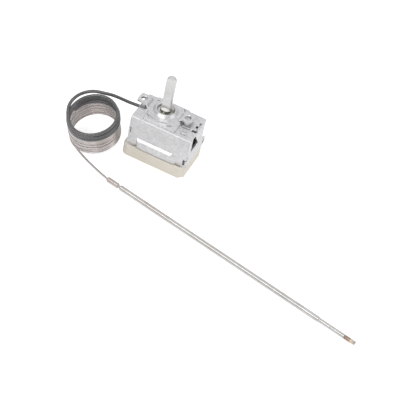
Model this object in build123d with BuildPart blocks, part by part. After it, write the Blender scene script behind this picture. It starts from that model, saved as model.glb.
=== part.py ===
from build123d import *
from math import atan2, cos, pi, radians, sin, tan
import os

os.makedirs("parts", exist_ok=True)

# Oven thermostat with a bulb and a capillary. Millimetres, +Z up.
# The origin is on the shaft's axis, at the foot of the ceramic base.
# +X runs along the long side, away from the capillary, and +Y to the back.

# Clearances
seam = 0.05  # between sheets and pieces that are staked or laid together
press = 0.02  # round a pressed or screwed-in piece
running = 0.05  # radial, round what turns or slides
play = 0.05  # end play in the train from the shaft to the lever
slack = 0.3  # round a lug in its notch or recess

# Folded housing
sheet = 1.0
housing_left = 14.7
housing_right = 22.9
housing_front = 14.6
housing_back = 9.1
ledge_height = 7.4
wall_height = 21.1
bend_radius = 0.4
corner_radius = 2.8
panel_left = 8.9
panel_right = 16.8
panel_height = 6.8
panel_step = 1.15
panel_slope = 1.15
panel_side = 1.1
panel_slant = 2.8
panel_slant_drop = 4.5
notch_depth = 2.1
foot_lug_places = (-10.9, 18.2)
foot_lug_width = 2.5
foot_lug_length = 1.4
foot_notch = 0.8
foot_gap = 0.6
foot_notch_reach = 4.15
lug_stand = 0.25

# End plates: each lug is its front edge, its width, and the notch's gap before and behind it
right_top_lugs = ((-4.5, 2.1, 1.6, 0.1), (0.1, 3.0, 0.1, 0.1))
left_top_lugs = ((-2.6, 3.2, 0.1, 0.1),)
top_notch_depth = 1.3
# Slots that the lugs' roots leave in the plate: middle and size along X, then along Y
root_slots = ((20.5, 2.4, -5.3, 1.6), (20.7, 1.5, -1.2, 2.0), (21.2, 0.7, 2.2, 1.4))
right_wall_lug = (9.9, 3.2)
left_wall_lug = (16.4, 3.6)
right_joggle = 0.3
right_joggle_height = 16.4
right_joggle_slope = 0.7
window_floor = 17.1
window_front = -10.2
window_top_back = -7.4
window_back = -0.2
ear_height = 11.0
ear_offset = 0.5
ear_radius = 3.0
ear_hole = 1.4
inlet_radius = 1.7
inlet_rise = 0.3

# Screw beside the bridge
screw_x = 16.3
screw_y = -9.8
screw_radius = 1.5
screw_length = 4.0
screw_head_radius = 1.9
screw_head_height = 1.1
screw_head_round = 0.7
screw_slot = 0.6
screw_hole = 1.7
dish_depth = 0.25
dish_front = 2.4
dish_back = 5.2
dish_left = 3.5
dish_right = 4.0
flange_front = 2.6
flange_back = 2.4
flange_left = 2.7
flange_right = 3.3
flange_neck = 2.9

# Mounting bridge
bridge_left = 8.4
bridge_right = 12.0
bridge_front = 12.9
bridge_back = 8.4
bridge_corner = 0.8
tab_width = 7.4
tab_foot = 10.0
tab_run = 0.6
tab_root = 2.0
tab_rise = 2.2
tab_bend = 1.2
tab_left_end = 17.2
tab_right_end = 17.4
tab_corner = 1.2
relief_gap = 0.25
hole_spacing = 28.0
hole_radius = 1.65
hole_sink = 2.0
hole_collar = 2.35
hole_collar_length = 0.8
groove_radius = 10.7
groove_width = 0.8
groove_depth = 0.4
groove_start = 240
groove_sweep = 60
ring_radius = 7.3
ring_bore = 5.0
ring_height = 1.3
ring_hollow = 0.6
ring_flank = 1.3
ring_edge = 0.4
bridge_edge = 0.5
stop_bore = 4.0
bridge_lugs = ((234, 11.3, 2.4), (305, 12.6, 2.4), (36, 11.3, 2.4), (143, 8.9, 1.6))
bridge_slit = 0.9
bridge_lug_thickness = 0.45

# Shaft and its collar
shaft_radius = 3.0
shaft_length = 23.0
shaft_across_flat = 4.6
shaft_round = 2.4
flat_start = 31.4
shoulder_radius = 3.7
shoulder_height = 0.7
tang_width = 2.0
tang_height = 1.8
collar_radius = 3.5
collar_height = 2.2
collar_slot = 1.0
collar_slot_depth = 1.1
washer_radius = 4.3
washer_thickness = 0.3
turn_range = 270
nose_reach = 4.85
nose_height = 1.25
nose_angle = 40
nose_place = 45
stop_gap = 0.5

# Threaded bush and spindle
bush_flange_radius = 6.0
bush_flange = 1.0
bush_spigot_radius = 4.4
bush_spigot_height = 1.5
bush_body_radius = 5.2
bush_body_length = 3.5
thread_radius = 4.0
step_depth = 0.9
spindle_height = 2.5
spindle_below_step = 4.2
spindle_slot_depth = 1.9
spindle_nose = 1.4
spindle_nose_radius = 1.5

# Capsule
button_radius = 2.0
button_height = 1.05
capsule_radius = 7.4
capsule_body_radius = 6.4
capsule_height = 2.6
capsule_rim = 0.8
corrugation_depth = 0.3
corrugation_width = 1.0
corrugation_radii = (3.2, 4.8)
stud_radius = 1.6
stud_height = 0.9
capillary_d = 1.2
stub_bend = 1.5

# Ceramic base and switch
base_left = 16.6
base_right = 23.2
base_front = 16.7
base_back = 10.6
base_corner = 3.0
base_round = 4.0
base_edge = 0.4
spigot_height = 2.0
pocket_left = 9.6
pocket_right = 16.6
pocket_half_width = 5.2
pocket_depth = 5.0
cover_thickness = 1.2
cover_front = 8.0
cover_back = 7.4
cover_margin = 3.7
guide_radius = 3.2
guide_height = 2.4
rivet_offset = 1.7
rivet_radius = 1.2
rivet_head_radius = 1.9
rivet_head = 0.5
rivet_length = 4.5
blade_width = 6.3
blade_thickness = 0.8
blade_below_ledge = 3.2
blade_reach = 8.0
blade_hole = 0.8
blade_hole_inset = 3.2
blade_chamfer = 1.0
blade_bend = 0.6
strip_inner_end = 3.0
tongue_height = 3.2
tongue_half_width = 2.2
tongue_window_half = 1.4
tongue_window_height = 0.7
pin_radius = 1.5
pin_guide = 0.06
pivot_x = 5.6
pivot_below_ledge = 1.4
lever_thickness = 0.4
lever_half_width = 2.2
lever_tail = 8.0
lever_reach = 13.0
neck_half_width = 1.2
ear_half_width = 2.0
lever_ear_length = 0.9
lever_ear_gap = 0.7
lever_slot_start = 3.0
lever_slot_end = 8.5
lever_slot_width = 1.6
contact_x = 11.0
contact_radius = 1.5
contact_thickness = 0.7
contact_gap = 0.1
fixed_strip_front = 2.2
fixed_leg = 4.1
spring_radius = 1.6
spring_wire = 0.35
spring_turns = 3.25

# Capillary, its sleeve and the bulb
sleeve_d = 2.0
coil_radius = 14.5
coil_turns = 9.25
coil_lean = 15.85
coil_lean_towards = -120.3
coil_turned = 14.31
coil_x = -34.12
coil_y = -15.52
sleeve_band = 2.3
sleeve_band_height = 5.4
sleeve_band_edge = 0.7
coil_edge = 0.5
ferrule_d = 2.9
ferrule_length = 8.3
ferrule_neck_d = 1.5
ferrule_neck = 1.1
bulb_d = 3.0
bulb_body = 136.4
bulb_step_d = 2.4
bulb_step = 16.3
tip_d = 2.3
tip_length = 5.0
tip_pinch = 1.8
tip_pinch_d = 1.2
tip_pinch_width = 1.8
bulb_heading = -11.1

# The cord's route by hand: the lead in the object's frame, then the loose top turn
# in the coil's leaning frame, as angle, radius and height above the coil's first turn
sleeve_lead = (
    (-14.85, 4.1, 20.2),
    (-18.6, 4.0, 20.2),
    (-23.3, 2.7, 21.1),
    (-28.1, 1.4, 22.3),
    (-33.0, -1.3, 24.1),
    (-37.1, -3.7, 25.0),
)
sleeve_turn = (
    (102, 16.7, 17.8),
    (130, 17.4, 17.6),
    (158, 17.0, 17.3),
    (186, 14.9, 17.1),
    (214, 14.3, 17.0),
    (242, 14.6, 17.0),
    (270, 14.8, 17.05),
    (298, 14.8, 17.05),
    (326, 14.8, 17.05),
    (354, 14.8, 17.0),
    (382, 14.8, 16.8),
    (410, 14.8, 16.2),
)
capillary_route = (
    (-41.5, -27.4, 0.6),
    (-38.5, -29.3, 0.6),
    (-34.2, -31.9, 0.6),
    (-27.9, -34.9, 0.6),
    (-21.0, -37.7, 0.6),
    (-16.5, -39.6, 0.85),
    (-12.4, -41.4, 1.45),
)

# Heights that follow from these sizes
plate_top = ledge_height + wall_height
plate_under = plate_top - sheet
bridge_top = plate_top + sheet
tab_top = bridge_top + tab_rise
ring_top = bridge_top + ring_height
panel_top = ledge_height + panel_height
pocket_floor = ledge_height - pocket_depth
blade_height = ledge_height - blade_below_ledge
pivot_z = ledge_height - pivot_below_ledge
bush_top = plate_under + bush_spigot_height
washer_top = bush_top + washer_thickness
collar_foot = washer_top + play
step_height = plate_under - step_depth
shoulder_top = step_height - 2 * play
shoulder_foot = shoulder_top - shoulder_height
tang_foot = shoulder_foot - tang_height
shaft_top = tab_top + shaft_length
spindle_foot = step_height - spindle_below_step
spindle_top = spindle_foot + spindle_height
nose_foot = spindle_foot - spindle_nose
button_top = nose_foot - play
capsule_top = button_top - button_height
capsule_foot = capsule_top - capsule_height
stud_foot = capsule_foot - stud_height
pin_top = stud_foot - play
lever_top = pivot_z + lever_thickness / 2
lever_foot = pivot_z - lever_thickness / 2
pin_foot = lever_top + play
blade_top = blade_height + blade_thickness
spigot_top = ledge_height + spigot_height
cover_top = spigot_top + cover_thickness
guide_top = cover_top + guide_height
fixed_contact_foot = lever_top + contact_thickness + contact_gap
fixed_strip_foot = fixed_contact_foot + contact_thickness
load_x = -(pivot_x + blade_thickness / 2)
inlet_y = sleeve_lead[0][1]
inlet_z = sleeve_lead[0][2] + inlet_rise


def block(x_range, y_range, z_range, mode=Mode.ADD):
    # A straight block between two values on each axis, in the part that is open
    lows, highs = zip(x_range, y_range, z_range)
    middle = tuple((low + high) / 2 for low, high in zip(lows, highs))
    with Locations(middle):
        Box(*(high - low for low, high in zip(lows, highs)), mode=mode)


def disc(radius, foot, top, x=0.0, y=0.0, mode=Mode.ADD):
    # An upright cylinder between two heights, in the part that is open
    with Locations((x, y, foot)):
        Cylinder(radius, top - foot, align=(Align.CENTER, Align.CENTER, Align.MIN), mode=mode)


def sector(inner, outer, middle_angle, half_angle):
    # A piece of a ring, in the sketch that is open
    with BuildLine() as rim:
        far = CenterArc((0, 0), outer, middle_angle - half_angle, 2 * half_angle)
        near = CenterArc((0, 0), inner, middle_angle - half_angle, 2 * half_angle)
        Line(far @ 0, near @ 0)
        Line(far @ 1, near @ 1)
    make_face(rim.edges())


def lanced_spots(height):
    # Where the bridge's lugs stand, each turned along its circle, with its length
    spots = []
    for angle, radius, length in bridge_lugs:
        place = (radius * cos(radians(angle)), radius * sin(radians(angle)), height)
        spots.append((Location(place, (0, 0, angle + 90)), length))
    return spots


def corner_radii(points):
    # The arc at each corner of a cord's route, as large as its two runs allow
    radii = []
    for before, corner, after in zip(points, points[1:], points[2:]):
        run_in = corner - before
        run_out = after - corner
        half_turn = radians(run_in.get_angle(run_out)) / 2
        radii.append(0.45 * min(run_in.length, run_out.length) / tan(half_turn))
    return radii


# Housing frame: one sheet folded to a U, a top plate with two long walls
frame_depth = housing_front + housing_back
frame_length = housing_left + housing_right
with BuildPart() as housing_frame:
    with BuildSketch(Plane.YZ.offset(-housing_left)):
        with BuildLine():
            FilletPolyline(
                (-housing_front + sheet / 2, ledge_height),
                (-housing_front + sheet / 2, plate_top - sheet / 2),
                (housing_back - sheet / 2, plate_top - sheet / 2),
                (housing_back - sheet / 2, ledge_height),
                radius=bend_radius + sheet / 2,
            )
        trace(line_width=sheet)
    extrude(amount=frame_length)
    # The plate's back corners are round, and the back wall ends where they start
    with BuildSketch(Plane.XY.offset(ledge_height)) as plan:
        with Locations(((housing_right - housing_left) / 2, (housing_back - housing_front) / 2)):
            Rectangle(frame_length, frame_depth)
        fillet(plan.vertices().group_by(Axis.Y)[-1], corner_radius)
    extrude(amount=wall_height, mode=Mode.INTERSECT)
    back_wall = (housing_back - sheet, housing_back)
    for edge, inward in ((-housing_left, 1), (housing_right, -1)):
        wall_end = sorted((edge, edge + inward * corner_radius))
        block(wall_end, back_wall, (ledge_height, plate_under), Mode.SUBTRACT)
    # The lower part of the front wall is pressed out, with sloping edges
    for depth, mode in ((0, Mode.ADD), (sheet, Mode.SUBTRACT)):
        for out, side, drop in ((0, 0, 0), (panel_step, panel_side, panel_slope)):
            with BuildSketch(Plane.XZ.offset(housing_front + out - depth)):
                with BuildLine():
                    Polyline(
                        (side - panel_left, ledge_height),
                        (side - panel_left, panel_top - drop),
                        (panel_right - panel_slant - side, panel_top - drop),
                        (panel_right - side, panel_top - drop - panel_slant_drop),
                        (panel_right - side, ledge_height),
                        close=True,
                    )
                make_face()
        loft(mode=mode)
    # Between its feet the front wall stops short of the base
    notch_y = (-housing_front - panel_step, -housing_front + sheet)
    block(foot_lug_places, notch_y, (ledge_height, ledge_height + foot_gap), Mode.SUBTRACT)
    # Feet: a notch in the wall's lower edge, and in it a lug that goes down into the base
    notch_top = ledge_height + foot_notch
    for place in foot_lug_places:
        inward = -1 if place > 0 else 1
        notch_outer = place - inward * foot_lug_width / 2
        notch_inner = place + inward * (foot_lug_width / 2 + foot_notch_reach)
        block(sorted((notch_outer, notch_inner)), notch_y, (ledge_height, notch_top), Mode.SUBTRACT)
    for place in foot_lug_places:
        lug = (place - foot_lug_width / 2, place + foot_lug_width / 2)
        block(lug, (-housing_front, -housing_front + sheet), (ledge_height - foot_lug_length, notch_top))
    # Open notches for the end plates' lugs
    for lugs, edge, inner in (
        (right_top_lugs, housing_right, housing_right - top_notch_depth),
        (left_top_lugs, -housing_left, -housing_left + sheet + seam),
    ):
        for front, width, before, behind in lugs:
            notch = (front - before, front + width + behind)
            block(sorted((edge, inner)), notch, (plate_under, plate_top), Mode.SUBTRACT)
    for (foot, height), edge, inner in (
        (right_wall_lug, housing_right, housing_right - notch_depth),
        (left_wall_lug, -housing_left, -housing_left + sheet + slack),
    ):
        notch = (foot - slack, foot + height + slack)
        block(sorted((edge, inner)), (-housing_front, -housing_front + sheet), notch, Mode.SUBTRACT)
    for x, x_size, y, y_size in root_slots:
        slot_x = (x - x_size / 2, x + x_size / 2)
        block(slot_x, (y - y_size / 2, y + y_size / 2), (plate_under, plate_top), Mode.SUBTRACT)
    # A shallow dish round the screw, and the holes for the screw and the bush
    dish_x = (screw_x - dish_left, screw_x + dish_right)
    dish_y = (screw_y - dish_front, screw_y + dish_back)
    block(dish_x, dish_y, (plate_top - dish_depth, plate_top), Mode.SUBTRACT)
    disc(screw_hole, plate_under, plate_top, screw_x, screw_y, Mode.SUBTRACT)
    disc(bush_spigot_radius + seam, plate_under, plate_top, mode=Mode.SUBTRACT)
    # Lugs lanced up from the plate, which hold the bridge
    for spot, length in lanced_spots(plate_top):
        with Locations(spot):
            lug_size = (length - 2 * seam, bridge_lug_thickness, sheet + lug_stand)
            Box(*lug_size, align=(Align.CENTER, Align.CENTER, Align.MIN))

# Right end plate: joggled outwards below its window, with a flange for the screw and an ear
wall_front = -housing_front + sheet + seam
wall_back = housing_back - corner_radius
right_inner = housing_right - sheet
joggle_top = right_joggle_height + right_joggle_slope
ear_y = housing_back - ear_offset
top_lug_z = (plate_under - 2 * seam, plate_top + lug_stand)
wall_lug_y = (-housing_front - lug_stand, wall_front + seam)
with BuildPart() as end_plate_right:
    with BuildSketch(Plane.XZ.offset(-ear_y - ear_radius)):
        with BuildLine():
            Polyline(
                (right_inner, plate_under - seam),
                (right_inner, joggle_top),
                (right_inner + right_joggle, right_joggle_height),
                (right_inner + right_joggle, ledge_height),
                (housing_right + right_joggle, ledge_height),
                (housing_right + right_joggle, right_joggle_height),
                (housing_right, joggle_top),
                (housing_right, plate_under - seam),
                close=True,
            )
        make_face()
    extrude(amount=ear_y + ear_radius - wall_front)
    with BuildSketch(Plane.YZ.offset(right_inner)):
        with BuildLine():
            Polyline(
                (wall_front, ledge_height),
                (wall_front, plate_under),
                (wall_back, plate_under),
                (wall_back, ear_height + ear_radius),
                (ear_y, ear_height + ear_radius),
                (ear_y, ear_height - ear_radius),
                (wall_back, ear_height - ear_radius),
                (wall_back, ledge_height),
                close=True,
            )
        make_face()
        with Locations((ear_y, ear_height)):
            Circle(ear_radius)
            Circle(ear_hole, mode=Mode.SUBTRACT)
        with BuildLine():
            Polyline(
                (window_front, plate_under),
                (window_front, window_floor),
                (window_back, window_floor),
                (window_top_back, plate_under),
                close=True,
            )
        make_face(mode=Mode.SUBTRACT)
    extrude(amount=sheet + right_joggle, mode=Mode.INTERSECT)
    for front, width, before, behind in right_top_lugs:
        block((right_inner, housing_right), (front, front + width), top_lug_z)
    lug_foot, lug_height = right_wall_lug
    right_lug_x = (right_inner + right_joggle, housing_right + right_joggle)
    block(right_lug_x, wall_lug_y, (lug_foot, lug_foot + lug_height))
    # The flange lies under the plate and takes the screw's thread
    flange_z = (plate_under - seam - sheet, plate_under - seam)
    flange_y = (screw_y - flange_front, screw_y + flange_back)
    block((screw_x - flange_left, screw_x + flange_right), flange_y, flange_z)
    neck_y = (window_front - flange_neck, window_front)
    block((screw_x, housing_right), neck_y, flange_z)
    disc(screw_radius + press, plate_under - 2 * sheet, plate_under, screw_x, screw_y, Mode.SUBTRACT)

# Left end plate, with the way in for the capillary open to its back edge
left_inner = -housing_left + sheet
with BuildPart() as end_plate_left:
    block((-housing_left, left_inner), (wall_front, wall_back), (ledge_height, plate_under - seam))
    for front, width, before, behind in left_top_lugs:
        block((-housing_left, left_inner), (front, front + width), top_lug_z)
    lug_foot, lug_height = left_wall_lug
    block((-housing_left, left_inner), wall_lug_y, (lug_foot, lug_foot + lug_height))
    with BuildSketch(Plane.YZ.offset(-housing_left)):
        with Locations((inlet_y, inlet_z)):
            Circle(inlet_radius)
            Rectangle(wall_back - inlet_y + sheet, 2 * inlet_radius, align=(Align.MIN, Align.CENTER))
    extrude(amount=sheet, mode=Mode.SUBTRACT)

# Mounting bridge: a second sheet on the plate, with two raised tapped tabs and a pressed ring
tab_end_reach = {-1: tab_left_end, 1: tab_right_end}
with BuildPart() as mounting_bridge:
    with BuildSketch(Plane.XY.offset(plate_top)):
        with Locations(((bridge_right - bridge_left) / 2, (bridge_back - bridge_front) / 2)):
            RectangleRounded(bridge_left + bridge_right, bridge_front + bridge_back, bridge_corner)
        with Locations((tab_foot - tab_bend / 2, 0)):
            relief = (bridge_right, tab_width + 2 * relief_gap)
            Rectangle(*relief, align=(Align.MIN, Align.CENTER), mode=Mode.SUBTRACT)
    extrude(amount=sheet)
    fillet(mounting_bridge.edges().group_by(Axis.Z)[-1].group_by(Axis.Y)[0], bridge_edge)
    for side, reach in tab_end_reach.items():
        with BuildSketch(Plane.XZ.offset(-tab_width / 2)):
            with BuildLine():
                FilletPolyline(
                    (side * (tab_foot - tab_root), plate_top + sheet / 2),
                    (side * tab_foot, plate_top + sheet / 2),
                    (side * (tab_foot + tab_run), tab_top - sheet / 2),
                    (side * reach, tab_top - sheet / 2),
                    radius=tab_bend,
                )
            trace(line_width=sheet)
        extrude(amount=tab_width)
    fillet(mounting_bridge.edges().filter_by(Axis.Z).group_by(Axis.X)[-1], tab_corner)
    fillet(mounting_bridge.edges().filter_by(Axis.Z).group_by(Axis.X)[0], tab_corner)
    # Each tapped hole is drawn down to a short collar
    for side in (-1, 1):
        disc(hole_collar, tab_top - sheet - hole_collar_length, tab_top - sheet, side * hole_spacing / 2)
    with Locations((-hole_spacing / 2, 0, tab_top), (hole_spacing / 2, 0, tab_top)):
        CounterSinkHole(hole_radius, hole_sink, depth=sheet + hole_collar_length)
    # The pressed ring round the shaft, hollow beneath
    with BuildSketch(Plane.XZ):
        with BuildLine():
            Polyline(
                (ring_bore, plate_top),
                (ring_radius, plate_top),
                (ring_radius, bridge_top),
                (ring_radius - ring_flank, ring_top),
                (ring_bore + ring_edge, ring_top),
                (ring_bore, ring_top - ring_edge),
                close=True,
            )
        make_face()
    revolve(axis=Axis.Z)
    disc(ring_bore, plate_top, ring_top, mode=Mode.SUBTRACT)
    with BuildSketch(Plane.XY.offset(plate_top)):
        hollow_middle = (ring_radius + ring_bore) / 2
        Circle(hollow_middle + ring_hollow / 2)
        Circle(hollow_middle - ring_hollow / 2, mode=Mode.SUBTRACT)
    extrude(amount=ring_height, mode=Mode.SUBTRACT)
    # The fixed stop fills the turn that the collar's nose doesn't use
    stop_half_angle = (360 - turn_range - nose_angle) / 2 - stop_gap
    stop_place = nose_place + (360 - turn_range) / 2
    with BuildSketch(Plane.XY.offset(collar_foot + play)):
        sector(stop_bore, ring_bore + press, stop_place, stop_half_angle)
    extrude(amount=nose_height)
    with BuildSketch(Plane.XY.offset(bridge_top)):
        sector(groove_radius - groove_width / 2, groove_radius + groove_width / 2,
               groove_start + groove_sweep / 2, groove_sweep / 2)
    extrude(amount=-groove_depth, mode=Mode.SUBTRACT)
    for spot, length in lanced_spots(plate_top + sheet / 2):
        with Locations(spot):
            Box(length, bridge_slit, sheet, mode=Mode.SUBTRACT)

# Slotted screw that holds the flange under the plate
dish_floor = plate_top - dish_depth
with BuildPart() as plate_screw:
    disc(screw_radius, dish_floor - screw_length, dish_floor, screw_x, screw_y)
    disc(screw_head_radius, dish_floor, dish_floor + screw_head_height, screw_x, screw_y)
    fillet(plate_screw.edges().filter_by(GeomType.CIRCLE).sort_by(Axis.Z)[-1], screw_head_round)
    slot_x = (screw_x - screw_head_radius, screw_x + screw_head_radius)
    slot_y = (screw_y - screw_slot / 2, screw_y + screw_slot / 2)
    slot_foot = dish_floor + screw_head_height - screw_slot
    block(slot_x, slot_y, (slot_foot, slot_foot + screw_head_height), Mode.SUBTRACT)

# Threaded bush, staked through the plate
bush_foot = plate_under - bush_flange - bush_body_length
with BuildPart() as threaded_bush:
    disc(bush_flange_radius, plate_under - bush_flange, plate_under - seam)
    disc(bush_spigot_radius, plate_under - bush_flange, bush_top)
    disc(bush_body_radius, bush_foot, plate_under - bush_flange)
    disc(thread_radius, bush_foot, step_height, mode=Mode.SUBTRACT)
    disc(shaft_radius + running, step_height, bush_top, mode=Mode.SUBTRACT)

with BuildPart() as spring_washer:
    disc(washer_radius, bush_top, washer_top)
    disc(shaft_radius + 2 * running, bush_top, washer_top, mode=Mode.SUBTRACT)

# Shaft: round, with a flat for the knob, a shoulder under the bush and a tang for the spindle
with BuildPart() as d_shaft:
    disc(shaft_radius, shoulder_foot, shaft_top)
    fillet(d_shaft.edges().filter_by(GeomType.CIRCLE).sort_by(Axis.Z)[-1], shaft_round)
    disc(shoulder_radius, shoulder_foot, shoulder_top)
    with BuildSketch(Plane.XY.offset(tang_foot)):
        Circle(shaft_radius)
        Rectangle(2 * shaft_radius, tang_width, mode=Mode.INTERSECT)
    extrude(amount=tang_height)
    flat_y = shaft_radius - shaft_across_flat
    block((-shaft_radius, shaft_radius), (-shaft_radius, flat_y), (flat_start, shaft_top), Mode.SUBTRACT)

with BuildPart() as slotted_collar:
    disc(collar_radius, collar_foot, collar_foot + collar_height)
    for turn in (0, 90):
        with Locations(Location((0, 0, collar_foot + collar_height), (0, 0, turn))):
            Box(2 * collar_radius, collar_slot, 2 * collar_slot_depth, mode=Mode.SUBTRACT)
    with BuildSketch(Plane.XY.offset(collar_foot + play)):
        sector(shaft_radius + slack, nose_reach, nose_place, nose_angle / 2)
    extrude(amount=nose_height)
    disc(shaft_radius + press, collar_foot, collar_foot + collar_height, mode=Mode.SUBTRACT)

# Spindle: its thread climbs in the bush as the shaft's tang turns it
with BuildPart() as adjusting_spindle:
    disc(thread_radius - running, spindle_foot, spindle_top)
    disc(spindle_nose_radius, nose_foot, spindle_foot)
    slot_y = (-tang_width / 2 - running, tang_width / 2 + running)
    slot_foot = spindle_top - spindle_slot_depth
    block((-thread_radius, thread_radius), slot_y, (slot_foot, spindle_top), Mode.SUBTRACT)

# Capsule: two corrugated discs welded at the rim, which the liquid swells
capsule_middle = (capsule_top + capsule_foot) / 2
with BuildPart() as diaphragm_capsule:
    disc(capsule_body_radius, capsule_foot, capsule_top)
    disc(capsule_radius, capsule_middle - capsule_rim / 2, capsule_middle + capsule_rim / 2)
    for radius in corrugation_radii:
        for face, inward in ((capsule_foot, 1), (capsule_top, -1)):
            with BuildSketch(Plane.XZ):
                with BuildLine():
                    Polyline(
                        (radius - corrugation_width / 2, face),
                        (radius, face + inward * corrugation_depth),
                        (radius + corrugation_width / 2, face),
                        close=True,
                    )
                make_face()
            revolve(axis=Axis.Z, mode=Mode.SUBTRACT)
    disc(stud_radius, stud_foot, capsule_foot)

with BuildPart() as thrust_button:
    disc(button_radius, capsule_top, button_top)
    fillet(thrust_button.edges().filter_by(GeomType.CIRCLE).sort_by(Axis.Z)[-1], slack)

# The first bit of the tube, from the capsule's rim to where the sleeve starts
stub_end = Vector(*sleeve_lead[0]) + Vector(seam, 0, 0)
stub_angle = atan2(stub_end.Y - 1.0, stub_end.X + 8.0)
stub_out = Vector(cos(stub_angle), sin(stub_angle), 0)
stub_start = stub_out * capsule_radius + Vector(0, 0, capsule_middle)
with BuildPart() as capillary_stub:
    with BuildLine():
        stub_corner = stub_start + stub_out * 2.4
        stub_path = FilletPolyline(
            stub_start,
            stub_corner,
            (stub_corner.X - 2.4, stub_end.Y, stub_end.Z),
            stub_end,
            radius=stub_bend,
        )
    with BuildSketch(Plane(origin=stub_path @ 0, z_dir=stub_path % 0)):
        Circle(capillary_d / 2)
    sweep()

# Ceramic base: the switch's pocket, ledges for the walls and recesses for their feet
spigot_gap = sheet + 4 * seam
rivet_places = (-pocket_left - rivet_offset, pocket_right + rivet_offset)
blade_end = base_back + blade_reach
blade_places = (load_x, contact_x)
with BuildPart() as ceramic_base:
    with BuildSketch() as base_plan:
        with Locations(((base_right - base_left) / 2, (base_back - base_front) / 2)):
            Rectangle(base_left + base_right, base_front + base_back)
        fillet(base_plan.vertices().group_by(Axis.X)[0], base_round)
        chamfer(base_plan.vertices().group_by(Axis.X)[-1], base_corner)
    extrude(amount=ledge_height)
    chamfer(ceramic_base.faces().sort_by(Axis.Z)[-1].edges(), base_edge)
    with BuildSketch(Plane.XY.offset(ledge_height)):
        with Locations(((housing_right - housing_left) / 2, (housing_back - housing_front) / 2)):
            Rectangle(frame_length - 2 * spigot_gap, frame_depth - 2 * spigot_gap)
    extrude(amount=spigot_height)
    pocket_y = (-pocket_half_width, pocket_half_width)
    block((-pocket_left, pocket_right), pocket_y, (pocket_floor, spigot_top), Mode.SUBTRACT)
    # Seats under the two blades, and the slots that the blades leave by
    seat_top = blade_height - seam
    seat_edge = load_x + blade_width / 2 + slack
    block((-pocket_left, seat_edge), pocket_y, (pocket_floor, seat_top))
    fixed_seat = (fixed_leg - blade_thickness, pocket_half_width)
    block((contact_x - blade_width / 2 - slack, pocket_right), fixed_seat, (pocket_floor, seat_top))
    for place in blade_places:
        slot_x = (place - blade_width / 2 - seam, place + blade_width / 2 + seam)
        block(slot_x, (pocket_half_width, base_back), (seat_top, blade_top + seam), Mode.SUBTRACT)
    for place in rivet_places:
        disc(rivet_radius + seam, cover_top - rivet_length, spigot_top, place, mode=Mode.SUBTRACT)
    for place in foot_lug_places:
        recess_x = (place - foot_lug_width / 2 - slack, place + foot_lug_width / 2 + slack)
        recess_y = (-housing_front - slack, -housing_front + sheet + seam)
        recess_foot = ledge_height - foot_lug_length - slack
        block(recess_x, recess_y, (recess_foot, ledge_height), Mode.SUBTRACT)

# Cover over the switch, with a guide for the push pin
with BuildPart() as switch_cover:
    cover_x = (-pocket_left - cover_margin, pocket_right + cover_margin)
    block(cover_x, (-cover_front, cover_back), (spigot_top, cover_top))
    disc(guide_radius, cover_top, guide_top)
    disc(pin_radius + pin_guide, spigot_top, guide_top, mode=Mode.SUBTRACT)
    for place in rivet_places:
        disc(rivet_radius + seam, spigot_top, cover_top, place, mode=Mode.SUBTRACT)

with BuildPart() as cover_rivets:
    for place in rivet_places:
        disc(rivet_radius, cover_top - rivet_length, cover_top, place)
        disc(rivet_head_radius, cover_top, cover_top + rivet_head, place)

# Load blade: its upright tongue is the lever's pivot
with BuildPart() as terminal_load:
    load_range = (load_x - blade_width / 2, load_x + blade_width / 2)
    block(load_range, (-strip_inner_end, blade_end), (blade_height, blade_top))
    tongue_x = (-pivot_x - blade_thickness / 2, -pivot_x + blade_thickness / 2)
    block(tongue_x, (-tongue_half_width, tongue_half_width), (blade_top, blade_top + tongue_height))
    tongue_window_z = (pivot_z - tongue_window_height / 2, pivot_z + tongue_window_height / 2)
    block(tongue_x, (-tongue_window_half, tongue_window_half), tongue_window_z, Mode.SUBTRACT)
    chamfer(terminal_load.edges().filter_by(Axis.Z).group_by(Axis.Y)[-1], blade_chamfer)
    disc(blade_hole, blade_height, blade_top, load_x, blade_end - blade_hole_inset, Mode.SUBTRACT)

# Fixed blade: folded up over the lever's end, where it carries the fixed contact
with BuildPart() as terminal_fixed:
    with BuildSketch(Plane.YZ.offset(contact_x - blade_width / 2)):
        with BuildLine():
            FilletPolyline(
                (-fixed_strip_front, fixed_strip_foot + blade_thickness / 2),
                (fixed_leg, fixed_strip_foot + blade_thickness / 2),
                (fixed_leg, blade_height + blade_thickness / 2),
                (blade_end, blade_height + blade_thickness / 2),
                radius=blade_bend,
            )
        trace(line_width=blade_thickness)
    extrude(amount=blade_width)
    chamfer(terminal_fixed.edges().filter_by(Axis.Z).group_by(Axis.Y)[-1], blade_chamfer)
    disc(blade_hole, blade_height, blade_top, contact_x, blade_end - blade_hole_inset, Mode.SUBTRACT)

with BuildPart() as fixed_contact:
    disc(contact_radius, fixed_contact_foot, fixed_strip_foot, contact_x)
    fillet(fixed_contact.edges().filter_by(GeomType.CIRCLE).sort_by(Axis.Z)[0], slack)

# Lever: its tail hangs in the tongue's window, between two ears
with BuildPart() as contact_lever:
    with BuildSketch(Plane.XY.offset(lever_foot)):
        shoulder_x = -pivot_x + blade_thickness / 2 + 2 * play
        ear_x = -pivot_x - blade_thickness / 2 - lever_ear_gap
        for low, high, half_width in (
            (shoulder_x, lever_reach, lever_half_width),
            (-lever_tail, shoulder_x, neck_half_width),
            (ear_x - lever_ear_length, ear_x, ear_half_width),
        ):
            with Locations(((low + high) / 2, 0)):
                Rectangle(high - low, 2 * half_width)
        with Locations(((lever_slot_start + lever_slot_end) / 2, 0)):
            Rectangle(lever_slot_end - lever_slot_start, lever_slot_width, mode=Mode.SUBTRACT)
    extrude(amount=lever_thickness)

with BuildPart() as moving_contact:
    disc(contact_radius, lever_top, lever_top + contact_thickness, contact_x)
    fillet(moving_contact.edges().filter_by(GeomType.CIRCLE).sort_by(Axis.Z)[-1], slack)

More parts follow.
